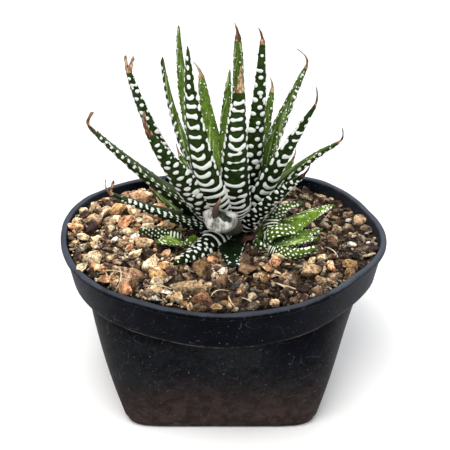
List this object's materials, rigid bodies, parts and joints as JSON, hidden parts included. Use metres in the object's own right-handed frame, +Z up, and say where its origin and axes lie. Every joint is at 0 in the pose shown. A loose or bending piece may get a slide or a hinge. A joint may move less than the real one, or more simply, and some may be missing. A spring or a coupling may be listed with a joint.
{
  "type": "potted haworthia",
  "caption": "Small succulent in a shallow nursery pot: a rosette of keeled, white-banded leaves with dried tips, offsets at its foot, and a bed of small stones.",
  "frame": {"origin": "centre of the pot's underside, on the surface that it stands on", "axes": "+Z up, -Y toward the front of the picture, +X to the right"},
  "size_m": [0.112, 0.1019, 0.1301],
  "materials": {
    "black_plastic": "satin, dusty toward the foot",
    "stony_soil": "tan, brown and grey grit over dark soil",
    "stem": "matte",
    "leaf": "dark green, raised white bands, dried brown tip",
    "faded_leaf": "papery grey-white",
    "offset_leaf": "bright green with white dots"
  },
  "bodies": {
    "root": {"pot": "black_plastic", "soil": "stony_soil", "stem": "stem", "leaf_01": "leaf", "leaf_02": "leaf", "leaf_03": "leaf", "leaf_04": "leaf", "leaf_05": "leaf", "leaf_06": "leaf", "leaf_07": "leaf", "leaf_08": "leaf", "leaf_09": "leaf", "leaf_10": "leaf", "leaf_11": "leaf", "leaf_12": "leaf", "leaf_13": "leaf", "leaf_14": "leaf", "leaf_15": "leaf", "leaf_16": "leaf", "leaf_17": "leaf", "leaf_18": "faded_leaf", "leaf_19": "leaf", "leaf_20": "leaf", "leaf_21": "leaf", "leaf_22": "leaf", "leaf_23": "leaf", "leaf_24": "leaf", "offset_right": "offset_leaf", "offset_left": "offset_leaf"}
  },
  "joints": []
}
